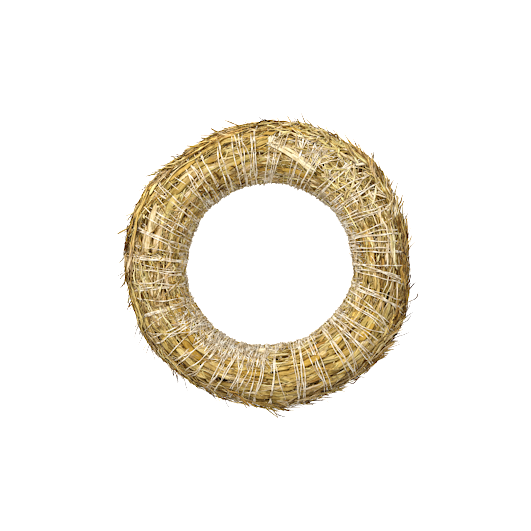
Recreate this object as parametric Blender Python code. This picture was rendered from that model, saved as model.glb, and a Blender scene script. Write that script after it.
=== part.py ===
"""Straw wreath: stalks pressed into a ring, bound tight by one long thread wound round and round it.

Metres, +Z up. The wreath lies flat, with its axis on Z and the origin in the middle of its underside.
A bearing is an angle round the ring, counted from +X towards +Y.
"""

import math

import bmesh
import bpy
from mathutils import Vector

# Ring of straw
OUTER_DIAMETER = 0.300
HOLE_DIAMETER = 0.173
RING_HEIGHT = 0.058
UNDERSIDE_WIDTH = 0.031

# The hand-made outline: (lobes, height, bearing of a lobe), added to each edge's radius
OUTER_WAVES = (
    (3, 0.0017, -59),
    (4, 0.0009, -29),
    (6, 0.0009, -25),
    (11, 0.0008, 14),
)
HOLE_WAVES = (
    (2, 0.0015, 20),
    (3, 0.0005, -11),
    (7, 0.0005, -15),
)

# Sheaves of straw that run round the ring, standing out between the turns of thread and slowly twisting
SHEAF_RELIEF = 0.0010
SHEAVES = 9
SHEAF_TWISTS = 4
RELIEF_STARTS_ABOVE = 0.006

# Binding thread, sunk into the straw that it pulls tight
THREAD_DIAMETER = 0.0010
THREAD_TURNS = 36
STRAW_PAST_THREAD = 0.0002
THREAD_TO_STRAW = 0.0004
THREAD_SIDES = 3
# (waves round the ring, share of a full turn): the turns lie closer here and wider there
SPACING_WAVES = (
    (5, 0.0060),
    (13, 0.0022),
)

# Broken stalk ends that stand off the outer edge, all pointing the way the straw was laid
STALK_WIDTH = 0.0034
STALK_THICKNESS = 0.0012
STALK_TIP_SHARE = 0.5
STALK_ROOT_BELOW_STRAW = 0.0003
STALK_ROOT_LENGTH = 0.0040
STALK_SHORTEST_SHARE = 0.75
STALK_LONGEST_SHARE = 1.25
# (bearing of the tuft, its spread in degrees, stalk ends, their length, their lift in degrees)
TUFTS = (
    (-38, 8, 9, 0.013, 15),
    (26, 20, 9, 0.015, 17),
    (66, 16, 5, 0.016, 13),
    (120, 22, 6, 0.015, 13),
    (172, 20, 5, 0.014, 14),
    (214, 20, 6, 0.014, 15),
    (262, 18, 6, 0.015, 15),
    (294, 12, 4, 0.016, 16),
)
TUFT_LOWEST = -14
TUFT_HIGHEST = 44

# Facets
STATIONS_PER_TURN = 3
POINTS_AROUND = 20
SHARP_EDGE_ANGLE = 40

STRAW_COLOUR = (0.62, 0.46, 0.19, 1.0)
STRAW_ROUGHNESS = 0.62
THREAD_COLOUR = (0.86, 0.82, 0.74, 1.0)
THREAD_ROUGHNESS = 0.4

# Values worked out from those above
MEAN_HALF_WIDTH = (OUTER_DIAMETER - HOLE_DIAMETER) / 4
UNDERSIDE_ANGLE = math.acos(UNDERSIDE_WIDTH / 2 / MEAN_HALF_WIDTH)
HALF_HEIGHT = RING_HEIGHT / (1 + math.sin(UNDERSIDE_ANGLE))
MIDDLE_HEIGHT = RING_HEIGHT - HALF_HEIGHT
THREAD_INSET = STRAW_PAST_THREAD + THREAD_DIAMETER / 2
DIP_INSET = THREAD_INSET + THREAD_DIAMETER / 2 + THREAD_TO_STRAW
STALK_ROOT_DEPTH = SHEAF_RELIEF + STALK_ROOT_BELOW_STRAW
STATIONS = THREAD_TURNS * STATIONS_PER_TURN


def clear_scene():
    for old in list(bpy.data.objects):
        bpy.data.objects.remove(old)


def material(name, colour, roughness):
    made = bpy.data.materials.new(name)
    made.use_nodes = True
    shader = made.node_tree.nodes["Principled BSDF"]
    shader.inputs["Base Color"].default_value = colour
    shader.inputs["Roughness"].default_value = roughness
    shader.inputs["Metallic"].default_value = 0.0
    made.diffuse_color = colour
    return made


def add_object(name, data, finish):
    made = bpy.data.objects.new(name, data)
    data.materials.append(finish)
    bpy.context.scene.collection.objects.link(made)
    return made


def waves(bearing, table):
    """Sum of the waves in an outline table, at a bearing in radians."""
    return sum(
        height * math.cos(lobes * (bearing - math.radians(peak)))
        for lobes, height, peak in table
    )


def ring_point(bearing, section_angle, inset):
    """Point on the straw's surface, or inset below it. Section angle 0 is the outer edge, 90 the top."""
    outer = OUTER_DIAMETER / 2 + waves(bearing, OUTER_WAVES)
    hole = HOLE_DIAMETER / 2 + waves(bearing, HOLE_WAVES)
    half_width = (outer - hole) / 2
    radius = (outer + hole) / 2 + (half_width - inset) * math.cos(section_angle)
    height = MIDDLE_HEIGHT + (HALF_HEIGHT - inset) * math.sin(section_angle)
    return Vector((radius * math.cos(bearing), radius * math.sin(bearing), max(inset, height)))


def sheaf_relief(bearing, section_angle):
    """How far a sheaf stands out between two turns of thread. It fades out towards the flat underside."""
    height = ring_point(bearing, section_angle, 0).z
    fade = min(1.0, height / RELIEF_STARTS_ABOVE)
    phase = SHEAF_TWISTS * bearing + SHEAVES * section_angle
    return fade * SHEAF_RELIEF * math.sin(phase)


def section_angles():
    """Angles of a section's points: an even arc over the top, then the middle of the flat underside."""
    steps = POINTS_AROUND - 2
    arc = math.pi + 2 * UNDERSIDE_ANGLE
    angles = [-UNDERSIDE_ANGLE + arc * step / steps for step in range(steps + 1)]
    return angles + [1.5 * math.pi]


def station_bearing(station, point):
    """Bearing of a grid point. A row moves on by one turn while it goes once round, as the thread does."""
    share = (station + STATIONS_PER_TURN * point / POINTS_AROUND) / STATIONS
    uneven = sum(size * math.sin(math.tau * count * share) for count, size in SPACING_WAVES)
    return math.tau * (share + uneven)


def straw_mesh():
    """The bound straw: a closed grid whose every third row is the dip that the thread lies in."""
    angles = section_angles()
    bm = bmesh.new()
    grid = {}
    for station in range(STATIONS):
        in_dip = station % STATIONS_PER_TURN == 0
        for point, angle in enumerate(angles):
            bearing = station_bearing(station, point)
            inset = DIP_INSET if in_dip else -sheaf_relief(bearing, angle)
            grid[station, point] = bm.verts.new(ring_point(bearing, angle, inset))

    def corner(station, point):
        if point == POINTS_AROUND:
            station, point = station + STATIONS_PER_TURN, 0
        return grid[station % STATIONS, point]

    for station in range(STATIONS):
        for point in range(POINTS_AROUND):
            bm.faces.new(
                (
                    corner(station, point),
                    corner(station + 1, point),
                    corner(station + 1, point + 1),
                    corner(station, point + 1),
                )
            )
    return finished_mesh("straw_ring", bm)


def finished_mesh(name, bm):
    """A mesh with its faces pointing out, shaded smooth."""
    bmesh.ops.triangulate(bm, faces=bm.faces[:])
    bmesh.ops.recalc_face_normals(bm, faces=bm.faces[:])
    mesh = bpy.data.meshes.new(name)
    bm.to_mesh(mesh)
    bm.free()
    mesh.shade_smooth()
    mesh.set_sharp_from_angle(angle=math.radians(SHARP_EDGE_ANGLE))
    return mesh


def stalk_end(bm, bearing, section_angle, length, lift):
    """One broken stalk end: a flattened, tapered stub that leaves the straw at a low angle."""
    root = ring_point(bearing, section_angle, STALK_ROOT_DEPTH)
    outward = (ring_point(bearing, section_angle, 0) - root).normalized()
    along = Vector((-math.sin(bearing), math.cos(bearing), 0))
    heading = along * math.cos(lift) + outward * math.sin(lift)
    across = heading.cross(outward).normalized()
    thick = across.cross(heading)
    rings = []
    for reach, share in ((-STALK_ROOT_LENGTH, 1), (length, STALK_TIP_SHARE)):
        centre = root + heading * reach
        half_width = across * STALK_WIDTH / 2 * share
        half_thick = thick * STALK_THICKNESS / 2 * share
        corners = (
            centre - half_width - half_thick,
            centre + half_width - half_thick,
            centre + half_width + half_thick,
            centre - half_width + half_thick,
        )
        rings.append([bm.verts.new(corner) for corner in corners])
    start, tip = rings
    bm.faces.new(start)
    bm.faces.new(tip[::-1])
    for side in range(4):
        after = (side + 1) % 4
        bm.faces.new((start[side], tip[side], tip[after], start[after]))


def between_turns(bearing, section_angle):
    """The bearing nearest to the one asked for that is midway between two turns of thread."""
    angles = section_angles()
    point = min(range(POINTS_AROUND - 1), key=lambda index: abs(angles[index] - section_angle))
    middles = [
        (
            station_bearing(turn * STATIONS_PER_TURN, point)
            + station_bearing((turn + 1) * STATIONS_PER_TURN, point)
        )
        / 2
        for turn in range(THREAD_TURNS)
    ]
    return min(middles, key=lambda middle: abs(math.remainder(middle - bearing, math.tau)))


def stalk_ends_mesh():
    """All the broken ends, spread through their tufts by steps that never fall into a row."""
    bm = bmesh.new()
    golden = (math.sqrt(5) - 1) / 2
    count = 0
    for tuft, spread, ends, length, lift in TUFTS:
        for end in range(ends):
            count += 1
            climb = (count * golden) % 1
            section_angle = math.radians(TUFT_LOWEST + (TUFT_HIGHEST - TUFT_LOWEST) * climb)
            wanted = math.radians(tuft + spread * (2 * end / (ends - 1) - 1))
            bearing = between_turns(wanted, section_angle)
            spare = STALK_LONGEST_SHARE - STALK_SHORTEST_SHARE
            uneven = STALK_SHORTEST_SHARE + spare * ((count * golden * golden) % 1)
            stalk_end(bm, bearing, section_angle, length * uneven, math.radians(lift * uneven))
    return finished_mesh("stalk_ends", bm)


def add_straw_ring():
    """The straw is one solid: the pressed ring with its broken stalk ends grown into it."""
    straw = material("dry_straw", STRAW_COLOUR, STRAW_ROUGHNESS)
    ends = add_object("stalk_ends", stalk_ends_mesh(), straw)
    ends.hide_render = True
    ends.display_type = "WIRE"
    ring = add_object("straw_ring", straw_mesh(), straw)
    join = ring.modifiers.new("grow_ends", "BOOLEAN")
    join.operation = "UNION"
    join.solver = "EXACT"
    join.use_self = True
    join.object = ends


def thread_profile():
    """The thread's cross-section, swept along its winding."""
    curve = bpy.data.curves.new("thread_profile", "CURVE")
    spline = curve.splines.new("POLY")
    spline.points.add(THREAD_SIDES - 1)
    for index, point in enumerate(spline.points):
        turn = -math.tau * index / THREAD_SIDES
        across = THREAD_DIAMETER / 2 * math.cos(turn)
        up = THREAD_DIAMETER / 2 * math.sin(turn)
        point.co = (across, up, 0, 1)
    spline.use_cyclic_u = True
    profile = bpy.data.objects.new("thread_profile", curve)
    bpy.context.scene.collection.objects.link(profile)
    profile.hide_render = True
    profile.display_type = "WIRE"
    return profile


def add_binding_thread():
    """The thread, knotted end to end, lying in the dip that runs through every third row of the straw."""
    angles = section_angles()
    curve = bpy.data.curves.new("binding_thread", "CURVE")
    curve.dimensions = "3D"
    curve.bevel_mode = "OBJECT"
    curve.bevel_object = thread_profile()
    spline = curve.splines.new("POLY")
    spline.points.add(THREAD_TURNS * POINTS_AROUND - 1)
    for index, place in enumerate(spline.points):
        turn, point = divmod(index, POINTS_AROUND)
        bearing = station_bearing(turn * STATIONS_PER_TURN, point)
        place.co = (*ring_point(bearing, angles[point], THREAD_INSET), 1)
    spline.use_cyclic_u = True
    thread = material("white_thread", THREAD_COLOUR, THREAD_ROUGHNESS)
    add_object("binding_thread", curve, thread)


clear_scene()
add_straw_ring()
add_binding_thread()
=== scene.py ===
"""A straw wreath that lies on a pale floor, seen from straight above.

Metres, +Z up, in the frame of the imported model. A bearing is an angle round the ring, counted from +X
towards +Y. A section angle is an angle round the roll of straw: 0 is its outer edge and 90 its top.
The stalks' own sizes are in millimetres and their angles in degrees.
"""

import math
from functools import partial

import bpy
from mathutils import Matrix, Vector


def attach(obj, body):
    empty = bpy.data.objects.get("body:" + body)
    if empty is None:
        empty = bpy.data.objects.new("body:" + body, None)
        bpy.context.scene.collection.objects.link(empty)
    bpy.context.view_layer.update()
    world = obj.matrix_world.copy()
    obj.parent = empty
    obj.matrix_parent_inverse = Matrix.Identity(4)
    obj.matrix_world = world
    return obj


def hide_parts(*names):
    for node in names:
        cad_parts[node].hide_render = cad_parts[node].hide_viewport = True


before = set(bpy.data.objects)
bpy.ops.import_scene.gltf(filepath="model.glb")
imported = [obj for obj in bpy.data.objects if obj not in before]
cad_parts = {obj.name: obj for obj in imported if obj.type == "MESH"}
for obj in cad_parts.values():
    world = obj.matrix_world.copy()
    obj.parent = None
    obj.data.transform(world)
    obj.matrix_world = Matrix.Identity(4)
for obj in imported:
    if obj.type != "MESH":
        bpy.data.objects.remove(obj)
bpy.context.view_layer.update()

# The camera. It hangs straight above the ring, and the top of the picture is +Y. A picture this wide
# takes in 557 mm at the level of the ring's widest outline, with the ring's axis a little off its middle.
PICTURE_PIXELS = 531
PICTURE_WIDTH = 0.557
RING_AXIS_PIXEL = (269.4, 264.4)
CAMERA_HEIGHT = 1.5
WIDEST_LEVEL = 0.029
SENSOR_WIDTH = 0.036
MILLIMETRES = 1000


def add_camera():
    data = bpy.data.cameras.new("camera")
    camera = bpy.data.objects.new("camera", data)
    bpy.context.scene.collection.objects.link(camera)
    bpy.context.scene.camera = camera
    pixel = PICTURE_WIDTH / PICTURE_PIXELS
    middle = PICTURE_PIXELS / 2
    camera.location = (
        (middle - RING_AXIS_PIXEL[0]) * pixel,
        (RING_AXIS_PIXEL[1] - middle) * pixel,
        CAMERA_HEIGHT,
    )
    data.sensor_width = SENSOR_WIDTH * MILLIMETRES
    data.lens = data.sensor_width * (CAMERA_HEIGHT - WIDEST_LEVEL) / PICTURE_WIDTH
    return camera


add_camera()

# The pressed straw at the heart of the ring. It is packed too tight to tell its stalks apart, and shows
# only as the floor of the gaps between the stalks that lie over it. Its near-black colour is painted
# shade for those gaps. The ring's own shape is here too: every stalk and thread is placed by a bearing,
# a section angle and a depth below the straw's surface.
OUTER_RADIUS = 0.150
HOLE_RADIUS = 0.0865
RING_HEIGHT = 0.058
UNDERSIDE_WIDTH = 0.031
# The hand-made outline: (lobes, height, bearing of a lobe), added to each edge's radius
OUTER_WAVES = ((3, 0.0017, -59), (4, 0.0009, -29), (6, 0.0009, -25), (11, 0.0008, 14))
HOLE_WAVES = ((2, 0.0015, 20), (3, 0.0005, -11), (7, 0.0005, -15))
HALF_WIDTH = (OUTER_RADIUS - HOLE_RADIUS) / 2
UNDERSIDE_ANGLE = math.acos(UNDERSIDE_WIDTH / 2 / HALF_WIDTH)
HALF_HEIGHT = RING_HEIGHT / (1 + math.sin(UNDERSIDE_ANGLE))
MIDDLE_HEIGHT = RING_HEIGHT - HALF_HEIGHT
MIDDLE_RADIUS = (OUTER_RADIUS + HOLE_RADIUS) / 2
LOWEST_STRAW = 0.0002
LUMP_HEIGHT = 0.0020
LUMPS_PER_METRE = 42.0
CORE_INSET = 0.0052
CORE_STATIONS = 240
CORE_POINTS = 48
CORE_SEAM = 0.00002
CORE_ROUGHNESS = 0.9
# Painted shade: the core is near black, with a few paler specks, so that the gaps between the stalks over
# it look deep in shadow
CORE_SHADE_COLOUR = (0.016, 0.007, 0.002, 1.0)
CORE_SHADE_SPECKLE_COLOUR = (0.080, 0.036, 0.008, 1.0)
CORE_SPECKLE_SCALE = 700.0


class Value:
    """A value inside a node tree, so that a formula can be written with ordinary signs."""

    def __init__(self, tree, socket):
        self.tree = tree
        self.socket = socket

    def worked(self, operation, *items):
        made = self.tree.nodes.new("ShaderNodeMath")
        made.operation = operation
        for place, item in zip(made.inputs, items):
            feed(place, item)
        return Value(self.tree, made.outputs[0])

    def __add__(self, other):
        return self.worked("ADD", self, other)

    def __radd__(self, other):
        return self.worked("ADD", other, self)

    def __sub__(self, other):
        return self.worked("SUBTRACT", self, other)

    def __rsub__(self, other):
        return self.worked("SUBTRACT", other, self)

    def __mul__(self, other):
        return self.worked("MULTIPLY", self, other)

    def __rmul__(self, other):
        return self.worked("MULTIPLY", other, self)

    def __truediv__(self, other):
        return self.worked("DIVIDE", self, other)

    def __pow__(self, other):
        return self.worked("POWER", self, other)

    def __abs__(self):
        return self.worked("ABSOLUTE", self)

    def cos(self):
        return self.worked("COSINE", self)

    def sin(self):
        return self.worked("SINE", self)

    def fraction(self):
        return self.worked("FRACT", self)

    def rounded(self):
        return self.worked("ROUND", self)

    def floored(self):
        return self.worked("FLOOR", self)

    def at_least(self, other):
        return self.worked("MAXIMUM", self, other)

    def at_most(self, other):
        return self.worked("MINIMUM", self, other)


def feed(place, item):
    """Puts a plain value, or what another node gives, into a socket."""
    if isinstance(item, Value):
        item.tree.links.new(item.socket, place)
    else:
        place.default_value = item


def add_node(tree, kind, inputs=(), **settings):
    """A node with its settings made and its sockets fed, by name or by number."""
    made = tree.nodes.new(kind)
    for name, setting in settings.items():
        setattr(made, name, setting)
    for place, item in dict(inputs).items():
        feed(made.inputs[place], item)
    return made


def output_of(tree, kind, inputs=(), output=0, **settings):
    made = add_node(tree, kind, inputs, **settings)
    return Value(tree, made.outputs[output])


def new_tree(name, inputs, outputs=(("Geometry", "Geometry"),), kind="GeometryNodeTree"):
    """A node tree with named inputs and outputs, and its inputs as values for formulas."""
    tree = bpy.data.node_groups.new(name, kind)
    for title, sort in inputs:
        tree.interface.new_socket(title, in_out="INPUT", socket_type="NodeSocket" + sort)
    for title, sort in outputs:
        tree.interface.new_socket(title, in_out="OUTPUT", socket_type="NodeSocket" + sort)
    entry = tree.nodes.new("NodeGroupInput")
    given = {title: Value(tree, entry.outputs[title]) for title, _ in inputs}
    return tree, given


def noise(tree, place, scale, detail):
    """A noise with this many lumps to each unit of place, about one half on the whole."""
    inputs = {"Vector": place, "Scale": scale, "Detail": detail}
    return output_of(tree, "ShaderNodeTexNoise", inputs)


def wave_sum(bearing, table):
    """The height of a table's waves at this bearing."""
    total = 0.0
    for lobes, height, peak in table:
        total = total + height * ((bearing - math.radians(peak)) * lobes).cos()
    return total


def point_on_ring_group():
    """Turns a bearing, a section angle and a depth below the straw's surface into a point."""
    inputs = [("Bearing", "Float"), ("Section angle", "Float"), ("Inset", "Float")]
    tree, given = new_tree("point_on_ring", inputs, [("Point", "Vector")])
    bearing = given["Bearing"]
    section_angle = given["Section angle"]
    inset = given["Inset"]
    outer = OUTER_RADIUS + wave_sum(bearing, OUTER_WAVES)
    hole = HOLE_RADIUS + wave_sum(bearing, HOLE_WAVES)
    half_width = (outer - hole) / 2

    def point_at(depth):
        radius = (outer + hole) / 2 + (half_width - depth) * section_angle.cos()
        height = MIDDLE_HEIGHT + (HALF_HEIGHT - depth) * section_angle.sin()
        sides = {
            "X": radius * bearing.cos(),
            "Y": radius * bearing.sin(),
            "Z": height.at_least(inset.at_least(LOWEST_STRAW)),
        }
        return output_of(tree, "ShaderNodeCombineXYZ", sides)

    raised = (noise(tree, point_at(0.0), LUMPS_PER_METRE, 1.0) - 0.5) * (2 * LUMP_HEIGHT)
    add_node(tree, "NodeGroupOutput", {"Point": point_at(inset - raised)})
    return tree


point_on_ring = point_on_ring_group()


def on_ring(tree, bearing, section_angle, inset):
    inputs = {"Bearing": bearing, "Section angle": section_angle, "Inset": inset}
    return output_of(tree, "GeometryNodeGroup", inputs, node_tree=point_on_ring)


def stored(tree, geometry, name, value, kind="FLOAT"):
    """The geometry with a value kept on each of its points, under a name."""
    inputs = {"Geometry": geometry, "Name": name, "Value": value}
    return output_of(tree, "GeometryNodeStoreNamedAttribute", inputs, data_type=kind)


def recalled(tree, name, kind="FLOAT"):
    """The value that was kept on each point under this name."""
    return output_of(tree, "GeometryNodeInputNamedAttribute", {"Name": name}, data_type=kind)


def finish_tree(tree, geometry, material):
    """Ends a tree: instances made real, smooth faces and the material."""
    real = output_of(tree, "GeometryNodeRealizeInstances", {"Geometry": geometry})
    smooth = output_of(tree, "GeometryNodeSetShadeSmooth", {"Geometry": real})
    inputs = {"Geometry": smooth, "Material": material}
    dressed = output_of(tree, "GeometryNodeSetMaterial", inputs)
    add_node(tree, "NodeGroupOutput", {"Geometry": dressed})


def made_by(tree, name, values):
    """A plain mesh object made by a tree from the values of its named inputs."""
    piece = bpy.data.objects.new(name, bpy.data.meshes.new(name))
    bpy.context.scene.collection.objects.link(piece)
    modifier = piece.modifiers.new(name, "NODES")
    modifier.node_group = tree
    for entry in tree.interface.items_tree:
        if entry.name in values:
            modifier[entry.identifier] = values[entry.name]
    graph = bpy.context.evaluated_depsgraph_get()
    mesh = bpy.data.meshes.new_from_object(piece.evaluated_get(graph))
    piece.modifiers.clear()
    piece.data = mesh
    mesh.name = name
    return piece


def core_tree():
    """The core: a grid of stations round the ring and points round the roll, closed both ways."""
    tree, given = new_tree("straw_core", [("Inset", "Float"), ("Material", "Material")])
    counts = {"Vertices X": CORE_STATIONS + 1, "Vertices Y": CORE_POINTS + 1}
    grid = output_of(tree, "GeometryNodeMeshGrid", {"Size X": 1.0, "Size Y": 1.0, **counts})
    place = output_of(tree, "GeometryNodeInputPosition")
    split = add_node(tree, "ShaderNodeSeparateXYZ", {"Vector": place})
    bearing = Value(tree, split.outputs["X"]) * math.tau
    section_angle = Value(tree, split.outputs["Y"]) * math.tau
    point = on_ring(tree, bearing, section_angle, given["Inset"])
    bent = output_of(tree, "GeometryNodeSetPosition", {"Geometry": grid, "Position": point})
    closed = output_of(tree, "GeometryNodeMergeByDistance", {"Geometry": bent, "Distance": CORE_SEAM})
    finish_tree(tree, closed, given["Material"])
    return tree


def plain_material(name):
    """A new material, its node tree and its shader."""
    material = bpy.data.materials.new(name)
    material.use_nodes = True
    tree = material.node_tree
    return material, tree, tree.nodes["Principled BSDF"]


def colour_mix(tree, share, first, second, blend="MIX"):
    """The second colour over the first by a share. The sockets for colours have these numbers."""
    inputs = {0: share, 6: first, 7: second}
    return output_of(tree, "ShaderNodeMix", inputs, 2, data_type="RGBA", blend_type=blend)


def mottle_group():
    """A noise fixed to the object, which makes some spots of it darker and others paler."""
    inputs = [("Scale", "Float"), ("Detail", "Float")]
    tree, given = new_tree("mottle", inputs, [("Mottle", "Float")], "ShaderNodeTree")
    place = output_of(tree, "ShaderNodeTexCoord", output="Object")
    spots = noise(tree, place, given["Scale"], given["Detail"])
    add_node(tree, "NodeGroupOutput", {"Mottle": spots})
    return tree


mottle = mottle_group()


def mottled(tree, scale, detail):
    inputs = {"Scale": scale, "Detail": detail}
    return output_of(tree, "ShaderNodeGroup", inputs, node_tree=mottle)


def core_material():
    material, tree, shader = plain_material("packed_straw")
    # The near-black colour is painted shade for the floor of the gaps between the stalks
    speckle = mottled(tree, CORE_SPECKLE_SCALE, 2.0)
    feed(shader.inputs["Base Color"], colour_mix(tree, speckle, CORE_SHADE_COLOUR, CORE_SHADE_SPECKLE_COLOUR))
    shader.inputs["Roughness"].default_value = CORE_ROUGHNESS
    return material


core = made_by(core_tree(), "straw_core", {"Inset": CORE_INSET, "Material": core_material()})
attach(core, "root")
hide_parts("straw_ring")

# The straw that shows. Stalks are laid along the ring in bundles, the lowest first. The press and the turns
# of thread crush them flat, split many of them, and pull them in where the thread crosses them.
THREAD_TURNS = 36
SPACING_WAVES = ((5, 0.0060), (13, 0.0022))
SECTION_SHARE_OVER_TOP = 0.9
DIP_DEPTH = 0.0010
DIP_SHARE = 0.24
FLANK_STARTS = 0.30
FLANK_FULL = 0.75
GOLDEN_SHARE = (math.sqrt(5) - 1) / 2
LONG_RARITY = 1.5
WIDE_RARITY = 1.6
# How far a bundle may start from its even place across the roll, and a stalk's tint be from its bundle's
BUNDLE_JITTER = 0.15
TINT_SPREAD = 0.5
FEWEST_BENDS = 3.0
MOST_BENDS = 9.0
THINNEST_SHARE = 0.7
THICKEST_SHARE = 1.3
# How suddenly a stalk tapers near its ends, and how suddenly a lifted tip leaves the straw
TAPER_POWER = 6
LIFT_POWER = 1.4

# What one batch of stalks is laid by, with the values that most batches share
STALK_COUNTS = {"Stalks": 1000, "Bundle": 6, "Seed": 0, "Sides": 5, "Segments": 5}
# Degrees
STALK_ANGLES = {
    "Bearing from": 0, "Bearing to": 360, "Angle from": -90, "Angle to": 270, "Mean slant": 0,
    "Slant": 20, "Fan": 6, "Twist": 25,
}
# Millimetres. Depths are below the straw's surface, and less than nought above it
STALK_LENGTHS = {
    "Shortest": 20, "Longest": 60, "Narrowest": 1, "Widest": 3, "Deepest": 2, "Shallowest": 0,
    "Flank recess": 1.6, "Darkens over": 4, "Spread along": 10, "Spread across": 3, "Bow": 1.2,
    "Outward bow": 0.3, "Tip lift": 0, "Root sink": 0,
}
STALK_SHARES = {
    "Thickness share": 0.4, "Stiffness": 0.3, "Cut": 1.2, "Taper": 0.35, "Lift rarity": 2.2,
    "Tint from": 0, "Tint to": 1,
}


def smooth_step(share):
    """0 up to nought, 1 from one on, and a soft slope between them."""
    limited = share.at_least(0.0).at_most(1.0)
    return limited * limited * (3 - 2 * limited)


def spacing_waves(round_share):
    """How far the thread's turns are from an even spacing here, as a share of the whole way round."""
    uneven = 0.0
    for count, size in SPACING_WAVES:
        uneven = uneven + size * (round_share * (math.tau * count)).sin()
    return uneven


def turns_passed(bearing, section_angle):
    """How many turns of the first thread have been passed. It is a whole number on the thread itself."""
    round_share = bearing / math.tau
    arc = math.pi + 2 * UNDERSIDE_ANGLE
    climb = (section_angle + UNDERSIDE_ANGLE) * (SECTION_SHARE_OVER_TOP / arc)
    return (round_share - spacing_waves(round_share)) * THREAD_TURNS - climb


def pulled_in(bearing, section_angle):
    """How much the first thread presses the straw here: 1 on the thread, 0 midway between two turns."""
    turns = turns_passed(bearing, section_angle)
    away = abs(turns - turns.rounded())
    return smooth_step(1 - away / DIP_SHARE)


def flank_share(section_angle):
    """1 on the ring's outer flank, where a last sheaf is laid over the thread, and 0 on top and inside."""
    return smooth_step((section_angle.cos() - FLANK_STARTS) / (FLANK_FULL - FLANK_STARTS))


def random_number(tree, low, high, owner, seed):
    """A number from low to high, always the same for one owner. The sockets for it have these numbers."""
    inputs = {2: low, 3: high, "ID": owner, "Seed": seed}
    return output_of(tree, "FunctionNodeRandomValue", inputs, output=1)


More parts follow.
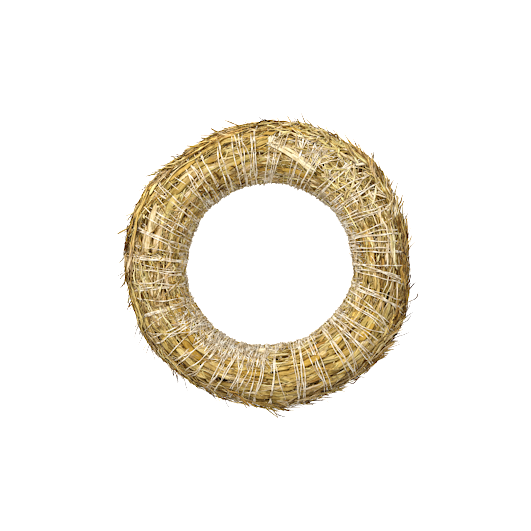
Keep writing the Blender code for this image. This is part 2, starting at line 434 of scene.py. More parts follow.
def stalk_tree():
    """A batch of stalks. Each is a closed, flattened tube, bent by its own and its bundle's values."""
    inputs = [(title, "Int") for title in STALK_COUNTS]
    inputs += [(title, "Float") for title in (*STALK_ANGLES, *STALK_LENGTHS, *STALK_SHARES)]
    tree, given = new_tree("lay_stalks", inputs)

    counts = {"Vertices": given["Sides"], "Side Segments": given["Segments"]}
    tube = output_of(tree, "GeometryNodeMeshCylinder", {**counts, "Radius": 1.0, "Depth": 1.0})
    start = output_of(tree, "GeometryNodeInputPosition")
    place = add_node(tree, "ShaderNodeSeparateXYZ", {"Vector": start})
    tube = stored(tree, tube, "across", Value(tree, place.outputs["X"]))
    tube = stored(tree, tube, "up", Value(tree, place.outputs["Y"]))
    tube = stored(tree, tube, "along", Value(tree, place.outputs["Z"]) + 0.5)
    roots = output_of(tree, "GeometryNodePoints", {"Count": given["Stalks"]})
    roots = stored(tree, roots, "stalk", output_of(tree, "GeometryNodeInputIndex"), "INT")
    copies = output_of(tree, "GeometryNodeInstanceOnPoints", {"Points": roots, "Instance": tube})
    stalks = output_of(tree, "GeometryNodeRealizeInstances", {"Geometry": copies})

    across = recalled(tree, "across")
    up = recalled(tree, "up")
    lengthwise = recalled(tree, "along") - 0.5
    number = recalled(tree, "stalk", "INT")
    bundle = (number / given["Bundle"]).floored()
    bundles = given["Stalks"] / given["Bundle"]

    def chance(low, high, seed, owner=number):
        """A value of the stalk's own, or of its bundle's, from low to high. Each use has its own seed."""
        return random_number(tree, low, high, owner, given["Seed"] + seed)

    def between(first, last, share):
        """The value that lies at this share of the way from one named input to another."""
        return given[first] + (given[last] - given[first]) * share

    round_share = (bundle + chance(0.0, 1.0, 1, bundle)) / bundles
    climb_share = (bundle * GOLDEN_SHARE + chance(0.0, BUNDLE_JITTER, 2, bundle)).fraction()
    root_angle = between("Angle from", "Angle to", climb_share)
    root_angle = root_angle + given["Spread across"] / HALF_WIDTH * chance(-1.0, 1.0, 19)
    local_radius = MIDDLE_RADIUS + HALF_WIDTH * root_angle.cos()
    root_bearing = between("Bearing from", "Bearing to", round_share)
    root_bearing = root_bearing + given["Spread along"] / local_radius * chance(-1.0, 1.0, 20)
    length = between("Shortest", "Longest", chance(0.0, 1.0, 3) ** LONG_RARITY)
    width = between("Narrowest", "Widest", chance(0.0, 1.0, 4) ** WIDE_RARITY)
    depth = between("Deepest", "Shallowest", chance(0.0, 1.0, 5))
    bundle_slant = given["Slant"] * chance(-1.0, 1.0, 6, bundle) * abs(chance(-1.0, 1.0, 7, bundle))
    slant = given["Mean slant"] + bundle_slant + given["Fan"] * chance(-1.0, 1.0, 8)
    lean = given["Twist"] * (chance(-1.0, 1.0, 9) + lengthwise * chance(-1.0, 1.0, 10))

    ends = abs(lengthwise * 2)
    half_width = width / 2 * (1 - given["Taper"] * ends ** TAPER_POWER)
    half_thick = half_width * given["Thickness share"] * chance(THINNEST_SHARE, THICKEST_SHARE, 11)
    sideways = across * half_width * lean.cos() - up * half_thick * lean.sin()
    outwards = across * half_width * lean.sin() + up * half_thick * lean.cos()
    wave = (lengthwise * chance(FEWEST_BENDS, MOST_BENDS, 12) + chance(0.0, math.tau, 13)).sin()
    sideways = sideways + given["Bow"] * chance(-1.0, 1.0, 14) * wave
    outwards = outwards + given["Outward bow"] * chance(-1.0, 1.0, 15) * wave
    tip = (lengthwise * 2).at_least(0.0)
    root = (lengthwise * -2).at_least(0.0)
    lift = given["Tip lift"] * chance(0.0, 1.0, 16) ** given["Lift rarity"]
    outwards = outwards + lift * tip ** LIFT_POWER
    outwards = outwards - given["Root sink"] * root * root

    slanted_cut = across * half_width * given["Cut"] * chance(-1.0, 1.0, 17) * ends
    distance = lengthwise * length + slanted_cut
    run = distance * slant.cos() - sideways * slant.sin()
    climb = distance * slant.sin() + sideways * slant.cos()
    off_arc = given["Stiffness"] * run * run / (local_radius * 2)
    outwards = outwards + off_arc * root_angle.cos()
    climb = climb - off_arc * root_angle.sin()
    bearing = root_bearing + run / local_radius
    section_angle = root_angle + climb / HALF_WIDTH
    dip = pulled_in(bearing, section_angle) * DIP_DEPTH
    recess = given["Flank recess"] * flank_share(section_angle)
    point = on_ring(tree, bearing, section_angle, depth - outwards + dip + recess)

    laid = output_of(tree, "GeometryNodeSetPosition", {"Geometry": stalks, "Position": point})
    tint = (chance(0.0, 1.0, 18, bundle) + chance(0.0, TINT_SPREAD, 21)).fraction()
    laid = stored(tree, laid, "tint", between("Tint from", "Tint to", tint))
    laid = stored(tree, laid, "shade", chance(0.0, 1.0, 22))
    # How near the stalk's edge this is. The straw colour darkens there as painted shade
    laid = stored(tree, laid, "edge", abs(across))
    laid = stored(tree, laid, "across", across * half_width * MILLIMETRES)
    laid = stored(tree, laid, "reach", lengthwise * length * MILLIMETRES)
    # How deep the stalk lies. The straw colour darkens with it, partly as dust on deep straw and partly as
    # painted shade in the gaps
    laid = stored(tree, laid, "buried", smooth_step((depth - outwards) / given["Darkens over"]))
    add_node(tree, "NodeGroupOutput", {"Geometry": laid})
    return tree


lay_stalks = stalk_tree()

# From the darkest, which the painted shade of the gaps reaches, to the palest, which has bleached to cream
STRAW_COLOURS = (
    (0.00, (0.045, 0.017, 0.002)),
    (0.20, (0.170, 0.085, 0.012)),
    (0.38, (0.335, 0.208, 0.052)),
    (0.55, (0.510, 0.355, 0.130)),
    (0.72, (0.695, 0.535, 0.260)),
    (0.86, (0.850, 0.710, 0.425)),
    (1.00, (0.980, 0.880, 0.620)),
)
# What a stalk's own tint does to those: brown, orange, amber, gold, olive, plain, pink, cream, grey
STRAW_TINTS = (
    (0.00, (0.62, 0.44, 0.20)),
    (0.12, (1.00, 0.76, 0.38)),
    (0.20, (1.05, 0.88, 0.34)),
    (0.28, (1.03, 0.93, 0.61)),
    (0.44, (0.98, 0.98, 0.66)),
    (0.58, (0.92, 0.96, 0.70)),
    (0.70, (1.00, 1.00, 0.92)),
    (0.82, (0.98, 0.90, 0.94)),
    (0.92, (1.04, 1.04, 1.08)),
    (1.00, (0.82, 0.82, 0.82)),
)
WEATHERED_TINT = (0.98, 0.92, 1.02, 1.0)
GOLDEN_TINT = (1.04, 0.93, 0.55, 1.0)
FIBRES_PER_MILLIMETRE = 1.3
FIBRE_STRETCH = 0.12
# How far apart in the noise the fibres of the darkest and the palest stalk are taken
FIBRE_SHIFT = 40
STAIN_SCALE = 110.0
STAIN_CONTRAST = 0.6
# Painted shade: each stalk is darker towards its edges, for the shadow between neighbouring stalks
RIM_PAINTED_SHADE = 0.42
RIM_POWER = 4
# How much darker a stalk is when it lies deep: partly dust, partly painted shade of the gaps
BURIED_PAINTED_SHADE = 0.8
PATCH_SCALE = 38.0
# Where the patch noise is weathered and where golden, each with the width of its soft edge
WEATHERED_ABOVE, WEATHERED_WIDTH = 0.50, 0.16
GOLDEN_BELOW, GOLDEN_WIDTH = 0.46, 0.12
LEAST_ROUGHNESS = 0.40
FIBRE_ROUGHNESS = 0.3
STRAW_SPECULAR = 0.15
FIBRE_BUMP = 0.4
FIBRE_HEIGHT = 0.0003


def ramp(tree, share, stops):
    """The colour at this share of the way through a row of stops."""
    made = add_node(tree, "ShaderNodeValToRGB", {"Fac": share})
    elements = made.color_ramp.elements
    while len(elements) < len(stops):
        elements.new(0.5)
    for element, (place, colour) in zip(elements, stops):
        element.position = place
        element.color = (*colour, 1.0)
    return Value(tree, made.outputs["Color"])


def shader_attribute(tree, name):
    return output_of(tree, "ShaderNodeAttribute", output="Fac", attribute_name=name)


def straw_surface_group():
    """The straw's colour here: by its own shade and tint, its fibres, stains and patches, and painted shade
    at its rims and where it lies deep.
    """
    titles = ("Base", "Own shade", "Fibre contrast", "Weathering", "Goldening")
    inputs = [(title, "Float") for title in titles]
    outputs = [("Colour", "Color"), ("Fibres", "Float")]
    tree, given = new_tree("straw_surface", inputs, outputs, "ShaderNodeTree")
    shade = shader_attribute(tree, "shade")
    reach = shader_attribute(tree, "reach")
    across = shader_attribute(tree, "across")
    sides = {"X": across, "Y": reach * FIBRE_STRETCH, "Z": shade * FIBRE_SHIFT}
    strand = output_of(tree, "ShaderNodeCombineXYZ", sides)
    fibres = noise(tree, strand, FIBRES_PER_MILLIMETRE, 3.0)
    place = output_of(tree, "ShaderNodeTexCoord", output="Object")
    stains = noise(tree, place, STAIN_SCALE, 3.0)
    paleness = given["Base"] + (shade - 0.5) * given["Own shade"]
    paleness = paleness + (fibres - 0.5) * given["Fibre contrast"] + (stains - 0.5) * STAIN_CONTRAST
    # Painted shade: darker towards each stalk's edges
    paleness = paleness - RIM_PAINTED_SHADE * shader_attribute(tree, "edge") ** RIM_POWER
    # Painted shade, with some dust: deeper stalks are darker, as in the shadowed gaps
    paleness = paleness * (1 - BURIED_PAINTED_SHADE * shader_attribute(tree, "buried"))
    patches = noise(tree, place, PATCH_SCALE, 2.0)
    weathered = smooth_step((patches - WEATHERED_ABOVE) / WEATHERED_WIDTH) * given["Weathering"]
    golden = smooth_step((GOLDEN_BELOW - patches) / GOLDEN_WIDTH) * given["Goldening"]
    own_tint = ramp(tree, shader_attribute(tree, "tint"), STRAW_TINTS)
    tint = colour_mix(tree, golden, colour_mix(tree, weathered, own_tint, WEATHERED_TINT), GOLDEN_TINT)
    colour = colour_mix(tree, 1.0, ramp(tree, paleness, STRAW_COLOURS), tint, "MULTIPLY")
    add_node(tree, "NodeGroupOutput", {"Colour": colour, "Fibres": fibres})
    return tree


straw_surface = straw_surface_group()


def straw_material(name, base, own_shade, fibre_contrast, weathering=0.6, goldening=0.6):
    """Straw of one paleness, by how much stalks differ, fibres show, and patches have turned."""
    material, tree, shader = plain_material(name)
    inputs = {
        "Base": base, "Own shade": own_shade, "Fibre contrast": fibre_contrast,
        "Weathering": weathering, "Goldening": goldening,
    }
    surface = add_node(tree, "ShaderNodeGroup", inputs, node_tree=straw_surface)
    fibres = Value(tree, surface.outputs["Fibres"])
    feed(shader.inputs["Base Color"], Value(tree, surface.outputs["Colour"]))
    feed(shader.inputs["Roughness"], LEAST_ROUGHNESS + fibres * FIBRE_ROUGHNESS)
    shader.inputs["Specular IOR Level"].default_value = STRAW_SPECULAR
    inputs = {"Height": fibres, "Strength": FIBRE_BUMP, "Distance": FIBRE_HEIGHT}
    feed(shader.inputs["Normal"], output_of(tree, "ShaderNodeBump", inputs))
    return material


dry_straw = straw_material("dry_straw", 0.72, 0.52, 0.65)

# The pairs of values that one word and two numbers give
FROM_AND_TO = {
    "bearing": ("Bearing from", "Bearing to"),
    "angle": ("Angle from", "Angle to"),
    "length": ("Shortest", "Longest"),
    "width": ("Narrowest", "Widest"),
    "depth": ("Deepest", "Shallowest"),
    "tint": ("Tint from", "Tint to"),
}


def title_of(key):
    """The name that a tree's input has for a key such as mean_slant."""
    return key.replace("_", " ").capitalize()


def batch(**sizes):
    """The values for one batch of stalks: the shared ones, with those named here in their place."""
    values = {**STALK_COUNTS, **STALK_ANGLES, **STALK_LENGTHS, **STALK_SHARES}
    for key, size in sizes.items():
        if key in FROM_AND_TO:
            values.update(zip(FROM_AND_TO[key], size))
        else:
            values[title_of(key)] = size
    for title in STALK_ANGLES:
        values[title] = math.radians(values[title])
    for title in STALK_LENGTHS:
        values[title] = values[title] / MILLIMETRES
    return values


def lay(name, material, *batches, slot="straw"):
    """Lays batches of stalks as one piece and fixes it to the ring."""
    tree, given = new_tree(name, [("Material", "Material")])
    join = tree.nodes.new("GeometryNodeJoinGeometry")
    for values in batches:
        stalks = output_of(tree, "GeometryNodeGroup", values, node_tree=lay_stalks)
        feed(join.inputs[0], stalks)
    finish_tree(tree, Value(tree, join.outputs[0]), given["Material"])
    piece = made_by(tree, name, {"Material": material})
    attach(piece, "root")
    return piece


lay(
    "inner_stalks", dry_straw,
    batch(
        stalks=1500, seed=10, length=(30, 90), width=(2, 5), depth=(4.8, 2.8), slant=14,
        stiffness=0.1, tint_to=0.8,
    ),
)
lay(
    "middle_stalks", dry_straw,
    batch(
        stalks=2800, bundle=4, seed=40, length=(12, 60), width=(1.4, 4), depth=(4, 1.4), slant=26,
        fan=8, bow=0.6,
    ),
)
lay(
    "upper_stalks", dry_straw,
    batch(
        stalks=5200, bundle=3, seed=70, segments=3, angle=(-60, 240), length=(6, 28),
        width=(1.2, 4), depth=(3, 0.1), darkens_over=3.2, slant=38, fan=12, stiffness=0.5, cut=2,
        bow=0.3,
    ),
)
lay(
    "splinters", dry_straw,
    batch(
        stalks=1500, bundle=3, seed=90, sides=4, segments=3, angle=(-50, 230), length=(6, 35),
        width=(0.5, 1.6), depth=(1.4, -0.4), slant=60, fan=14, stiffness=0.7, cut=1.5, bow=0.8,
        tint_from=0.3,
    ),
)

# The binding thread. One long white thread is wound round and round the roll, some turns beside or
# across others, and it is pulled so tight that it sinks into the straw.

# What one length of thread is wound by, with the values that most lengths share: start and wander in
# turns, waver in radians, and the radius, inset, weave and recesses in metres
THREAD_COUNTS = {"Turns": THREAD_TURNS, "Steps": 30, "Seed": 0, "Sides": 5}
THREAD_SIZES = {
    "Start": 0.0, "Wander": 0.0, "Straightness": 0.0, "Waver": 0.026, "Weave": 0.0036,
    "Unevenness": 1.8, "Radius": 0.0005, "Inset": 0.0003, "Sunk on top": 0.0, "Flank recess": 0.0020,
}
# Noise waves of the thread in each half turn: to its sides, in and out of the straw, and of its
# thickness, and how far on in the noise the last two are taken
SIDEWAYS_WAVES = 5.0
WEAVE_WAVES = 9.0
SWELL_WAVES = 11.0
WEAVE_SHIFT = 40
SWELL_SHIFT = 80
THREAD_DIP = 0.0009
# Where a buried thread is under the straw: over the top, and a little down the outer flank
BURIED_OVER_TOP = 1.6
BURIED_OUTSIDE = 0.3


def thread_mesh(tree, line, point, radius, sides, thickness=1.0):
    """A thread through the points of a line. It lies on the floor wherever it would go through it."""
    sides_of_point = add_node(tree, "ShaderNodeSeparateXYZ", {"Vector": point})
    height = Value(tree, sides_of_point.outputs["Z"]).at_least(radius * thickness + LOWEST_STRAW)
    kept = {title: Value(tree, sides_of_point.outputs[title]) for title in "XY"}
    lifted = output_of(tree, "ShaderNodeCombineXYZ", {**kept, "Z": height})
    placed = output_of(tree, "GeometryNodeSetPosition", {"Geometry": line, "Position": lifted})
    path = output_of(tree, "GeometryNodeMeshToCurve", {"Mesh": placed})
    inputs = {"Resolution": sides, "Radius": radius}
    profile = output_of(tree, "GeometryNodeCurvePrimitiveCircle", inputs)
    inputs = {"Curve": path, "Profile Curve": profile, "Scale": thickness, "Fill Caps": True}
    return output_of(tree, "GeometryNodeCurveToMesh", inputs)


def thread_tree():
    """One length of thread, wound in half turns over the top and under the ring by turns."""
    inputs = [(title, "Int") for title in THREAD_COUNTS]
    inputs += [(title, "Float") for title in THREAD_SIZES]
    tree, given = new_tree("wind_thread", inputs + [("Material", "Material")])
    count = given["Turns"] * given["Steps"]
    line = output_of(tree, "GeometryNodeMeshLine", {"Count": count})
    halves = output_of(tree, "GeometryNodeInputIndex") / given["Steps"] * 2
    half = halves.floored()
    crossed = (1 - (halves.fraction() * math.pi).cos()) / 2

    def edge_offset(number):
        """How far from its even place the thread comes over an edge of the roll."""
        return random_number(tree, -1.0, 1.0, number, given["Seed"])

    def noise_along(waves, shift):
        """A noise about nought along the thread, with this many waves in each half turn."""
        inputs = {"W": halves * waves + given["Seed"] + shift, "Scale": 1.0, "Detail": 0.0}
        return output_of(tree, "ShaderNodeTexNoise", inputs, noise_dimensions="1D") - 0.5

    near_offset = edge_offset(half)
    far_offset = edge_offset(half + 1)
    offset = given["Wander"] * (near_offset + (far_offset - near_offset) * crossed)
    evenly = halves + (half + crossed - halves) * given["Straightness"]
    turn_share = (evenly / 2 + given["Start"] + offset) / given["Turns"]
    bearing = (turn_share + spacing_waves(turn_share)) * math.tau
    bearing = bearing + noise_along(SIDEWAYS_WAVES, 0) * given["Waver"]
    section_angle = halves * math.pi
    dip = (pulled_in(bearing, (halves / 2).fraction() * math.tau) - 1) * THREAD_DIP
    over_top = section_angle.sin() * BURIED_OVER_TOP
    covered = smooth_step(over_top + section_angle.cos() * BURIED_OUTSIDE)
    recess = given["Flank recess"] * flank_share(section_angle) + given["Sunk on top"] * covered
    weave = noise_along(WEAVE_WAVES, WEAVE_SHIFT) * given["Weave"]
    point = on_ring(tree, bearing, section_angle, given["Inset"] + dip + recess + weave)
    thickness = 1 + given["Unevenness"] * noise_along(SWELL_WAVES, SWELL_SHIFT)
    thread = thread_mesh(tree, line, point, given["Radius"], given["Sides"], thickness)
    finish_tree(tree, thread, given["Material"])
    return tree


THREAD_MOTTLE_SCALE = 170.0
THREAD_ROUGHNESS = 0.45
# From the straw's own dust and stain to clean white
THREAD_TINTS = (
    (0.32, (0.50, 0.36, 0.20)),
    (0.43, (0.74, 0.60, 0.40)),
    (0.54, (0.90, 0.79, 0.60)),
    (0.66, (1.00, 0.96, 0.85)),
)


def thread_material(name, tints):
    """Smooth thread, stained in some places and clean in others."""
    material, tree, shader = plain_material(name)
    feed(shader.inputs["Base Color"], ramp(tree, mottled(tree, THREAD_MOTTLE_SCALE, 3.0), tints))
    shader.inputs["Roughness"].default_value = THREAD_ROUGHNESS
    return material


wind_thread = thread_tree()
white_thread = thread_material("white_thread", THREAD_TINTS)


def wind(name, **sizes):
    """Winds one length of thread round the whole ring and fixes it there."""
    named = {title_of(key): size for key, size in sizes.items()}
    values = {**THREAD_COUNTS, **THREAD_SIZES, **named, "Material": white_thread}
    piece = made_by(wind_thread, name, values)
    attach(piece, "root")
    return piece


first_winding = wind("first_winding", seed=3, start=0.20, wander=0.05, radius=0.0007)
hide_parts("binding_thread")
wind("second_winding", seed=51, start=0.30, wander=0.32, straightness=0.8, radius=0.0007, inset=0.0002)
wind("third_winding", seed=97, start=0.62, wander=0.60, straightness=0.9, radius=0.0006, inset=0.0)
wind("fourth_winding", seed=131, start=0.05, wander=0.95, straightness=1.0)
# These are buried under the straw on top, and show on the inner side only
for count in range(4):
    wind(
        f"buried_winding_{count + 1}", seed=160 + 11 * count, start=0.13 + 0.27 * count, wander=0.6,
        straightness=1.0, inset=0.0004, sunk_on_top=0.0030,
    )

# The knot that ties the thread's two ends. It sits low on the hole's side, out of sight from above, and
# its two tails stand off it.
KNOT_BEARING = -62.0
KNOT_ANGLE = 214.0
KNOT_SIZE = 0.0010
KNOT_RISE = 0.0014
KNOT_STEPS = 60
KNOT_THREAD_RADIUS = 0.0007
KNOT_SIDES = 6


def knot_tree():
    """A loop that passes through itself three times, pulled tight and pressed to the straw."""
    tree, given = new_tree("tie_knot", [("Material", "Material")])
    line = output_of(tree, "GeometryNodeMeshLine", {"Count": KNOT_STEPS})
    turn = output_of(tree, "GeometryNodeInputIndex") * (math.tau / (KNOT_STEPS - 1))
    along = turn.sin() + (turn * 2).sin() * 2
    climb = turn.cos() - (turn * 2).cos() * 2
    rise = (turn * 3).sin()
    bearing = math.radians(KNOT_BEARING) + along * (KNOT_SIZE / HOLE_RADIUS)
    section_angle = math.radians(KNOT_ANGLE) + climb * (KNOT_SIZE / HALF_WIDTH)
    point = on_ring(tree, bearing, section_angle, rise * -KNOT_SIZE - KNOT_RISE)
    loop = thread_mesh(tree, line, point, KNOT_THREAD_RADIUS, KNOT_SIDES)
    finish_tree(tree, loop, given["Material"])
    return tree


knot = made_by(knot_tree(), "knot", {"Material": white_thread})
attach(knot, "root")
lay(
    "knot_tails", white_thread,
    batch(
        stalks=2, bundle=1, seed=30, sides=6, segments=9,
        bearing=(KNOT_BEARING - 4, KNOT_BEARING + 4), angle=(KNOT_ANGLE - 2, KNOT_ANGLE + 2),
        length=(14, 20), width=(1.2, 1.3), thickness_share=1, depth=(-0.8, -1.2), spread_along=0,
        spread_across=0, mean_slant=50, fan=30, stiffness=0, taper=0, tip_lift=3, lift_rarity=1,
        outward_bow=0.8,
    ),
    slot="thread",
)

# The last sheaf. Long stalks are laid along the ring's outer flank, over the thread, and hide where it
# goes down to the underside. They are the coarsest and brownest of the straw.
coarse_straw = straw_material("coarse_straw", 0.76, 0.70, 0.7)
sheaf = partial(
    batch,
    bundle=3, segments=7, angle_from=-52, length=(12, 70), width=(1.3, 4.4), depth=(2.2, -1.2),
    flank_recess=0.9, darkens_over=1.2, slant=34, fan=11, spread_along=15, stiffness=0.35, bow=0.8,
    outward_bow=0.5, taper=0.5,
)
lay(
    "outer_sheaf", coarse_straw,
    sheaf(
        stalks=210, seed=150, bearing=(98, 158), angle_to=42, longest=42, slant=26, fan=14,
        tint_to=0.5,
    ),
    sheaf(
        stalks=190, seed=290, bearing=(150, 200), angle_to=52, length=(8, 40), darkens_over=1.8,
        mean_slant=-8, fan=22,
    ),
    sheaf(stalks=170, seed=170, bearing=(190, 240), angle_to=28, longest=50),
    sheaf(
        stalks=250, seed=210, bearing=(310, 386), angle_to=50, longest=34, widest=5,
        depth=(2.4, -0.6), darkens_over=1.5, mean_slant=13, slant=20, fan=14, tint_to=0.28,
    ),
    sheaf(
        stalks=120, seed=230, bearing=(60, 100), angle_to=48, longest=50, shallowest=-0.4,
        tint_to=0.5,
    ),
    sheaf(
        stalks=140, seed=270, bearing=(22, 62), angle_to=48, longest=32, deepest=3, mean_slant=-16,
        slant=10, fan=9, darkens_over=1.4, tip_lift=5, lift_rarity=1.2, tint_to=0.5,
    ),
)
brown_straw = straw_material("brown_straw", 0.40, 0.6, 0.7, goldening=0.0)
# Dark brown straw deep and low on the outer flank, from the lower left round to the right, the side away
# from the key lamp. It is browner straw, and painted shade of that flank as well
lay(
    "shaded_brown_sheaf", brown_straw,
    sheaf(
        stalks=240, seed=190, bearing=(200, 312), angle_to=12, longest=50, depth=(3, 0.4), slant=14,
        tint_to=0.3,
    ),
    sheaf(
        stalks=120, seed=270, bearing=(308, 362), angle_to=26, longest=40, depth=(3, 0.4), slant=20,
        tint_to=0.16,
    ),
)
lay(
    "long_stalks", dry_straw,
    batch(
        stalks=22, bundle=2, seed=250, segments=8, bearing=(100, 208), angle=(-5, 50),
        length=(30, 90), width=(2, 3.4), depth=(0.4, -1.2), flank_recess=0, mean_slant=4, slant=8,
        fan=3, stiffness=0.2, bow=2, taper=0.5, tint_to=0.6,
    ),
)

# Broad blades. Leaves and split stalks crushed quite flat, which lie over the rest between the turns.
# On the left they have weathered to a pinkish grey, and at the bottom and lower right they are golden.
blades = partial(
    batch,
    bundle=2, sides=6, segments=7, length=(22, 55), width=(4.5, 9), thickness_share=0.1,
    depth=(1, 0.3), slant=12, fan=5, bow=1, twist=10,
)


def single_blades(*rows):
    """Blades that stand out by themselves, one for each row of the values that the last line names."""
    return [
        blades(
            stalks=1, bundle=1, seed=seed, segments=12, bearing=(bearing, bearing),
            angle=(angle, angle), length=(length, length), width=(width, width), depth=(depth, depth),
            tint=(tint, tint), spread_along=0, spread_across=0, flank_recess=0, mean_slant=slant,
            slant=0, fan=0, stiffness=0.5, taper=0.6,
        )
        for bearing, angle, length, width, slant, depth, tint, seed in rows
    ]


blade_straw = straw_material("blade_straw", 0.62, 0.30, 0.60)
lay(
    "broad_blades", blade_straw,
    blades(
        stalks=56, seed=110, bearing=(94, 152), angle=(40, 140), depth=(0.8, 0), tint=(0.26, 0.62),
    ),
    blades(
        stalks=70, seed=360, angle=(105, 170), width=(3.5, 7.5), deepest=1.2, slant=16,
        tint=(0.05, 0.4),
    ),
    blades(
        stalks=80, seed=120, angle=(20, 165), width=(3.5, 7), depth=(1.4, 0.4), slant=22, fan=8,
        twist=14, tint=(0.2, 0.9),
    ),
)
lay(
    "golden_blades", straw_material("golden_straw", 0.64, 0.34, 0.7, 0.3, 1.0),
    blades(stalks=84, seed=140, bearing=(205, 298), angle=(42, 130), slant=10, tint=(0.24, 0.4)),
    blades(stalks=24, seed=160, bearing=(296, 338), angle=(50, 120), tint=(0.2, 0.5)),
)
lay(
    "amber_blades", straw_material("amber_straw", 0.57, 0.2, 0.5, 0.0, 0.0),
    *single_blades(
        (-35, 84, 22, 8.5, 0, -0.1, 0.2, 445),
        (-67, 107, 20, 8.5, 4, -0.1, 0.2, 455),
        (-50, 112, 16, 6, 2, -0.1, 0.22, 495),
        (228, 88, 30, 8.5, -3, -0.1, 0.2, 465),
        (210, 119, 28, 7.5, -5, -0.1, 0.18, 475),
        (222, 106, 24, 7, -3, -0.1, 0.2, 485),
        (262, 96, 24, 6, 3, -0.1, 0.23, 505),
        (133, 60, 34, 6, 2, -0.3, 0.23, 515),
        (117, 78, 18, 6.5, -2, -0.1, 0.22, 525),
        (110.5, 105, 18, 6, 3, -0.1, 0.22, 535),
        (90, 58, 14, 5, 4, -0.6, 0.23, 545),
        (79, 47, 13, 5, 4, -1, 0.2, 555),
    ),
)
lay(
    "worn_blades", straw_material("worn_straw", 0.68, 0.2, 1.1, 0.9, 0.0),
    *single_blades(
        (164, 74, 54, 7.4, 5, -0.2, 0.9, 305),
        (170.5, 68, 36, 5, 8, 0.2, 0.86, 375),
        (158.5, 80, 22, 4.5, -4, -0.4, 1, 385),
        (164.5, 90, 44, 7.8, 6, 0.1, 0.8, 415),
        (-46, 66, 62, 7.8, -12, 0.7, 0.72, 325),
    ),
)
lay(
    "single_blades", blade_straw,
    *single_blades(
        (150, 92, 40, 8, 3, -0.2, 0.5, 315),
        (136, 84, 36, 8.5, 2, -0.3, 0.36, 335),
        (73, 128, 30, 8.5, -3, 0, 0.2, 345),
    ),
)
lay(
    "crossing_stalk", dry_straw,
    batch(
        stalks=2, bundle=2, seed=310, segments=8, bearing=(173, 173), angle=(40, 40),
        length=(20, 30), width=(1.6, 2), depth=(-1.2, -1.8), spread_along=1, spread_across=1,
        mean_slant=56.8, slant=0, fan=4, stiffness=0.6, tint=(0.4, 0.6),
    ),
)

# Chaff. Short splinters, chips and crumbs of straw lie at any angle over the stalks and the thread, some
# bleached and some rusty, and near-black chips among them are painted shadow in the deepest gaps. At the
# upper right they make a pale tangle, with a long bleached blade and torn ends of thread in it.
pale_straw = straw_material("pale_straw", 0.80, 0.60, 0.7, 0.2, 0.2)
litter = partial(batch, stiffness=1, cut=1.5, twist=35, taper=0.5)
lay(
    "chaff", dry_straw,
    litter(
        stalks=2600, bundle=3, seed=190, segments=2, angle=(-70, 250), length=(3, 18),
        width=(0.5, 2), depth=(1.2, -0.6), flank_recess=0, slant=120, fan=25, bow=0.5,
    ),
    litter(
        stalks=1000, bundle=2, seed=640, segments=2, bearing=(142, 216), angle=(54, 182),
        length=(3, 20), width=(0.5, 2.8), depth=(2.4, -1.4), darkens_over=1.8, slant=30, fan=70,
    ),
)
# Bleached stalks that lie a little proud of the others
pale_stalks = partial(
    batch,
    bundle=2, segments=4, angle=(62, 86), length=(8, 30), width=(1.2, 3), depth=(0.4, -0.6),
    cut=1.8, tint=(0.4, 0.9),
)
lay(
    "pale_stalks", pale_straw,
    pale_stalks(stalks=44, seed=840, bearing=(182, 212)),
    pale_stalks(stalks=40, seed=860, bearing=(2, 26)),
    pale_stalks(stalks=56, seed=890, bearing=(146, 214), angle=(108, 166)),
    pale_stalks(stalks=30, seed=910, bearing=(12, 58), angle=(110, 166)),
)
# Small chips of straw, which lie between the others. The near-black ones are painted shadow of deep gaps,
# and the rest have gone brown or rusty
chips = partial(
    batch,
    bundle=2, segments=2, length=(3, 10), width=(1, 2.6), depth=(1.2, 0.2), slant=50, fan=24,
    cut=1.5, tint_to=0.4,
)
# Near-black straw. The chips laid with it are painted shadow, and the hairs laid with it are dark fibres
dark_straw = straw_material("dark_straw", 0.22, 0.3, 0.4)
lay(
    "shadow_chips", dark_straw,
    chips(stalks=170, seed=660, angle=(-10, 60), flank_recess=0, depth=(0, -1.2)),
    chips(stalks=90, seed=680, angle=(60, 170)),
    chips(
        stalks=56, seed=580, bearing=(-26, 26), angle=(10, 50), flank_recess=0, longest=14,
        widest=2.4, depth=(0, -1.4), slant=20, tint_to=0.1,
    ),
    chips(stalks=50, seed=700, bearing=(142, 200), angle=(50, 150)),
    chips(
        stalks=44, seed=850, bearing=(110, 136), angle=(108, 142), depth=(0.4, -1), slant=0, fan=90,
    ),
)
lay(
    "brown_chips", brown_straw,
    chips(
        stalks=56, seed=740, bearing=(104, 130), angle=(118, 168), shallowest=-0.8, slant=0, fan=90,
    ),
    chips(
        stalks=70, seed=760, bearing=(150, 206), angle=(100, 165), shallowest=-0.8, slant=0, fan=80,
    ),
    chips(
        stalks=26, bundle=13, seed=820, segments=5, bearing=(168, 174), angle=(6, 34),
        flank_recess=0, length=(6, 18), depth=(-0.4, -2.6), bow=2, outward_bow=1.5, slant=20,
        fan=50,
    ),
)
lay(
    "rusty_chips", straw_material("rusty_straw", 0.60, 0.3, 0.5, 0.0, 0.0),
    chips(stalks=110, seed=720, angle=(20, 165), longest=16, width=(1.4, 3.6), tint=(0.06, 0.14)),
    chips(
        stalks=60, seed=780, bearing=(-28, 22), angle=(-6, 48), flank_recess=0, longest=18,
        depth=(0, -1.2), slant=30, tint=(0, 0.12),
    ),
)
lay(
    "long_pale_blade", pale_straw,
    *single_blades(
        (78, 99, 56, 4.4, -21, -1, 0.72, 300),
        (77, 94, 52, 3.8, -18, -0.6, 0.68, 435),
        (75.6, 104, 44, 3.6, -24, -0.4, 0.54, 355),
        (71, 104, 30, 2.8, -15, -1.2, 0.72, 395),
        (70.5, 116, 26, 2.2, -30, -1.2, 0.64, 405),
    ),
    batch(
        stalks=44, bundle=44, seed=340, sides=4, bearing=(87, 87), angle=(76, 76), spread_along=6,
        spread_across=5, length=(4, 12), width=(0.7, 2), depth=(-0.8, -2), slant=90, fan=90,
        stiffness=1, bow=2, tint=(0.9, 0.94),
    ),
)
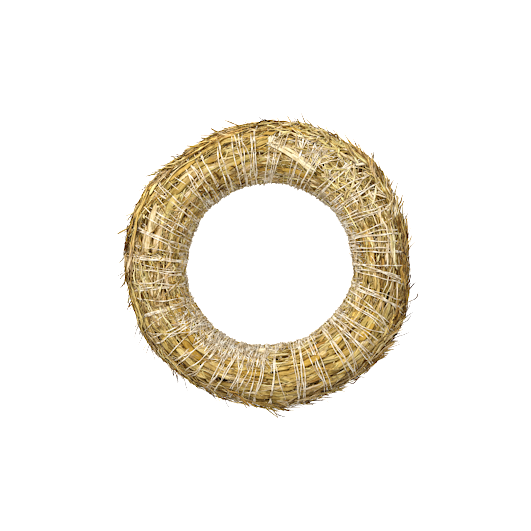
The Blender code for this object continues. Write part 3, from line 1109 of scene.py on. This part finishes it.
lay(
    "pale_tangle", pale_straw,
    litter(
        stalks=560, bundle=4, seed=210, segments=3, bearing=(26, 88), angle=(24, 112),
        length=(5, 26), width=(0.8, 3.6), depth=(2, -1), flank_recess=0, darkens_over=1.2, slant=40,
        fan=60, bow=0.8, tint=(0.25, 0.95),
    ),
    litter(
        stalks=500, bundle=3, seed=880, segments=3, angle=(110, 185), length=(4, 18),
        width=(0.6, 2), depth=(1, -0.6), slant=80, fan=20, tint=(0.4, 1),
    ),
    batch(
        stalks=16, bundle=16, seed=800, segments=4, bearing=(25, 25), angle=(46, 46),
        spread_along=8, spread_across=5, length=(10, 22), width=(1, 2.4), depth=(-1.6, -2.8),
        flank_recess=0, mean_slant=130, slant=0, fan=26, stiffness=1, tint=(0.9, 0.95),
    ),
)
lay(
    "torn_thread", white_thread,
    batch(
        stalks=64, bundle=4, seed=780, sides=4, segments=6, bearing=(50, 76), angle=(56, 104),
        length=(6, 18), width=(0.7, 1.3), depth=(0, -1.4), slant=0, fan=90, stiffness=1, bow=1.6,
    ),
    slot="thread",
)

# Broken ends. Where stalks broke over the outer edge their ends stand off it, all pointing the way the
# straw was laid. Most stand in tufts, and the rest singly.
# (bearing, spread, ends, length, lift, rarity of the highest) of each tuft
TUFTS = (
    (-37, 3, 44, 17, 9.5, 0.9),
    (26, 20, 60, 18, 12, 1.7),
    (66, 16, 36, 18, 11, 2.2),
    (120, 22, 60, 18, 10, 2.2),
    (172, 20, 44, 16, 11, 2.2),
    (214, 20, 30, 16, 11, 2.2),
    (262, 18, 24, 17, 10, 2.2),
    (294, 12, 20, 18, 10, 2.2),
    (44, 12, 16, 14, 8, 1.3),
)
# The shortest and the longest end of a tuft, as shares of its length
LEAST_END_SHARE = 0.8
MOST_END_SHARE = 2.0
broken = partial(batch, bundle=2, flank_recess=0, slant=24, stiffness=0.9, cut=1.5, taper=0.6)
lay(
    "broken_ends", dry_straw,
    *[
        broken(
            stalks=ends, seed=230 + 20 * place, bearing=(bearing - spread, bearing + spread),
            angle=(-20, 46), length=(LEAST_END_SHARE * length, MOST_END_SHARE * length),
            width=(1, 3.4), depth=(0.4, -1.2), fan=16, outward_bow=1.2, tip_lift=lift,
            lift_rarity=rarity, root_sink=3, tint_to=0.8,
        )
        for place, (bearing, spread, ends, length, lift, rarity) in enumerate(TUFTS)
    ],
    broken(
        stalks=200, bundle=1, seed=420, angle=(-50, 44), length=(8, 26), width=(0.5, 2),
        depth=(0.2, -1), slant=30, fan=22, outward_bow=1.5, tip_lift=9, root_sink=2, tint_to=0.8,
    ),
)
lay(
    "brown_ends", brown_straw,
    broken(
        stalks=110, seed=870, segments=4, bearing=(98, 196), angle=(-24, 38), length=(5, 18),
        width=(0.6, 2), depth=(0, -1.4), fan=18, outward_bow=1, tip_lift=6, tint_to=0.3,
    ),
)

# Hairs. Thin dark fibres of split straw stand off the outer edge, each with a curl of its own. The short
# ones are all round, and the long ones here and there, in groups of a few.
# (bearing, hairs) of each group of long ones
HAIR_GROUPS = (
    (-30, 5), (-20, 4), (-11, 6), (46, 5), (90, 6), (128, 4), (178, 4), (206, 4), (214, 4), (226, 5),
    (273, 5), (288, 5), (190, 4),
)
hairs = partial(
    batch,
    bundle=1, sides=4, segments=9, angle=(-40, 26), length=(16, 46), width=(0.9, 1.6),
    thickness_share=0.8, depth=(0, -1), flank_recess=0, slant=44, fan=30, stiffness=0.9, bow=4,
    outward_bow=3, taper=0.7, tip_lift=15, lift_rarity=0.8, root_sink=2, tint_to=0.2,
)
lay(
    "hairs", dark_straw,
    hairs(stalks=36, seed=460, longest=26, tip_lift=8),
    *[
        hairs(stalks=count, seed=500 + 30 * place, bearing=(bearing - 2, bearing + 2))
        for place, (bearing, count) in enumerate(HAIR_GROUPS)
    ],
)

# Fluff of the hole. On the ring's inner side the thread has frayed, and its torn grey filaments lie
# across the roll between the turns, together with short ends of straw.
FRAYED_TINTS = (
    (0.34, (0.46, 0.33, 0.21)),
    (0.44, (0.64, 0.52, 0.36)),
    (0.54, (0.80, 0.70, 0.54)),
    (0.66, (0.97, 0.91, 0.80)),
)
fluff = partial(
    batch,
    bundle=2, sides=4, segments=3, angle=(140, 215), length=(3, 14), width=(0.4, 1.2),
    depth=(0.4, -0.8), mean_slant=90, slant=80, fan=14, stiffness=1, bow=1, outward_bow=0.5,
    tip_lift=2, lift_rarity=1, root_sink=1,
)
lay(
    "inner_fluff", thread_material("frayed_thread", FRAYED_TINTS),
    fluff(stalks=960, seed=900, bearing=(112, 412)),
    fluff(stalks=90, seed=1050, bearing=(52, 112), angle_from=160),
    fluff(stalks=300, seed=990, bearing=(165, 265)),
    fluff(stalks=200, seed=1020, bearing=(15, 60), shallowest=-1.2),
    slot="thread",
)
lay(
    "inner_torn_thread", white_thread,
    fluff(
        stalks=240, seed=930, bearing=(206, 270), angle=(108, 152), length=(6, 22), widest=1.5,
        depth=(0, -1.4),
    ),
    slot="thread",
)
lay("inner_ends", dry_straw, fluff(stalks=440, seed=960, mean_slant=0, slant=120, widest=1.8))

# The studio. A pale matt floor that shows plain white, one large lamp from the upper left, a weak one
# straight above, and a soft glow from all sides. The picture is sharpened a little, as a camera does.
FLOOR_SIZE = 20.0
FLOOR_COLOUR = (0.80, 0.80, 0.80, 1)
FLOOR_ROUGHNESS = 0.9
WHITE = (1, 1, 1, 1)
LAMP_SIZE = 0.30
# (place, power in watts) of each lamp
LAMPS = {"key": ((-0.8, 1.2, 1.3), 21.0), "overhead": ((0.05, 0.0, 0.9), 1.4)}
STUDIO_GLOW = 0.64
SHARPENING = 0.10


def add_floor():
    mesh = bpy.data.meshes.new("floor")
    half = FLOOR_SIZE / 2
    corners = [(-half, -half, 0), (half, -half, 0), (half, half, 0), (-half, half, 0)]
    mesh.from_pydata(corners, [], [(0, 1, 2, 3)])
    material, tree, shader = plain_material("pale_floor")
    shader.inputs["Base Color"].default_value = FLOOR_COLOUR
    shader.inputs["Roughness"].default_value = FLOOR_ROUGHNESS
    shader.inputs["Emission Color"].default_value = WHITE
    feed(shader.inputs["Emission Strength"], output_of(tree, "ShaderNodeLightPath", output="Is Camera Ray"))
    mesh.materials.append(material)
    floor = bpy.data.objects.new("floor", mesh)
    bpy.context.scene.collection.objects.link(floor)


def add_light(name, place, power):
    data = bpy.data.lights.new(name, "AREA")
    data.size = LAMP_SIZE
    data.energy = power
    light = bpy.data.objects.new(name, data)
    light.location = place
    light.rotation_euler = (-Vector(place)).to_track_quat("-Z", "Y").to_euler()
    bpy.context.scene.collection.objects.link(light)


def add_studio_walls():
    """White all round. They light the straw less than they are seen."""
    world = bpy.data.worlds.new("studio")
    world.use_nodes = True
    seen = output_of(world.node_tree, "ShaderNodeLightPath", output="Is Camera Ray")
    background = world.node_tree.nodes["Background"]
    background.inputs["Color"].default_value = WHITE
    feed(background.inputs["Strength"], STUDIO_GLOW + seen * (1 - STUDIO_GLOW))
    bpy.context.scene.world = world


add_floor()
for lamp, (place, power) in LAMPS.items():
    add_light(lamp, place, power)
add_studio_walls()
bpy.context.scene.view_settings.view_transform = "Standard"


def sharpen_picture():
    """Brings out the single stalks in so small a picture."""
    scene = bpy.context.scene
    scene.use_nodes = True
    tree = scene.node_tree
    tree.nodes.clear()
    taken = tree.nodes.new("CompositorNodeRLayers")
    sharpener = tree.nodes.new("CompositorNodeFilter")
    sharpener.filter_type = "SHARPEN_DIAMOND"
    sharpener.inputs[0].default_value = SHARPENING
    shown = tree.nodes.new("CompositorNodeComposite")
    tree.links.new(taken.outputs["Image"], sharpener.inputs["Image"])
    tree.links.new(sharpener.outputs["Image"], shown.inputs["Image"])


sharpen_picture()
